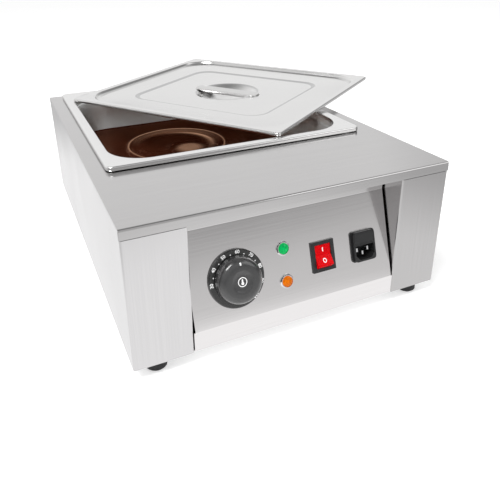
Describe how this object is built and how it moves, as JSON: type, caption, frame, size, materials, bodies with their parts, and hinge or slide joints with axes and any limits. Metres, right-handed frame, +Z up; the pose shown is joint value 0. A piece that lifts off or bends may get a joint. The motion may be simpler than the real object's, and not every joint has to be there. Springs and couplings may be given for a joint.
{
  "type": "electric chocolate melting pot",
  "caption": "Stainless water-bath chocolate melter with lift-out pan, loose lid, dial, rocker switch, pilot lamps, mains inlet with fuse drawer and rubber feet.",
  "frame": {"origin": "middle of the housing's footprint, on the plane under the four feet", "axes": "+Z up, the control panel faces -Y, +X to the right as seen from the front"},
  "size_m": [0.4942, 0.6248, 0.1835],
  "materials": {
    "housing_steel": "brushed",
    "tank_steel": "satin",
    "pan_steel": "satin",
    "mineral_wool": "matt",
    "element_steel": "dull",
    "brass": "satin",
    "ceramic": "matt",
    "bakelite": "satin",
    "copper": "satin",
    "dial_black": "satin",
    "knob_black": "gloss",
    "zinc_steel": "satin",
    "chrome": "polished",
    "green_lens": "gloss",
    "orange_lens": "gloss",
    "socket_black": "satin",
    "rocker_red": "gloss",
    "pin_metal": "bright",
    "fuse_glass": "clear",
    "wire_red": "satin",
    "foot_rubber": "matt",
    "chocolate": "wet gloss"
  },
  "bodies": {
    "housing": {"left_side_panel": "housing_steel", "right_side_panel": "housing_steel", "top_deck": "housing_steel", "back_panel": "housing_steel", "base_plate": "housing_steel", "control_panel": "housing_steel", "water_tank": "tank_steel", "insulation": "mineral_wool", "heating_element": "element_steel", "element_glands": "brass", "element_nuts": "brass", "element_terminals": "ceramic", "thermostat_body": "bakelite", "thermostat_capillary": "copper", "bulb_clip": "tank_steel", "dial_ring": "dial_black", "lamp_bezels": "chrome", "green_lens": "green_lens", "orange_lens": "orange_lens", "lamp_nuts": "zinc_steel", "switch_frame": "socket_black", "switch_terminals": "brass", "inlet_housing": "socket_black", "inlet_pins": "pin_metal", "terminal_block": "ceramic", "terminal_screws": "zinc_steel", "wiring": "wire_red", "case_screws": "zinc_steel", "foot_front_left": "foot_rubber", "foot_front_right": "foot_rubber", "foot_back_left": "foot_rubber", "foot_back_right": "foot_rubber", "foot_screws": "zinc_steel", "foot_nuts": "zinc_steel"},
    "pan": {"food_pan": "pan_steel", "chocolate": "chocolate"},
    "lid": {"lid": "pan_steel", "lid_handle": "pan_steel"},
    "knob": {"knob": "knob_black", "knob_shaft": "zinc_steel"},
    "rocker": {"rocker_button": "rocker_red"},
    "drawer": {"fuse_drawer": "socket_black", "fuse": "fuse_glass"}
  },
  "joints": [
    {"name": "pan_lift", "type": "slide", "parent": "housing", "child": "pan", "axis": [0, 0, 1], "range_m": [0, 0.2]},
    {"name": "lid_lift", "type": "slide", "parent": "pan", "child": "lid", "axis": [0, 0, 1], "range_m": [0, 0.2]},
    {"name": "knob_turn", "type": "hinge", "parent": "housing", "child": "knob", "pos_m": [-0.069, -0.23606, 0.07855], "axis": [0, -0.9558, 0.2941], "range_deg": [-159, 107]},
    {"name": "rocker_tilt", "type": "hinge", "parent": "housing", "child": "rocker", "pos_m": [0.033, -0.2323, 0.07719], "axis": [1, 0, 0], "range_deg": [0, 24]},
    {"name": "drawer_slide", "type": "slide", "parent": "housing", "child": "drawer", "axis": [0, -0.9558, 0.2941], "range_m": [0, 0.02]}
  ]
}
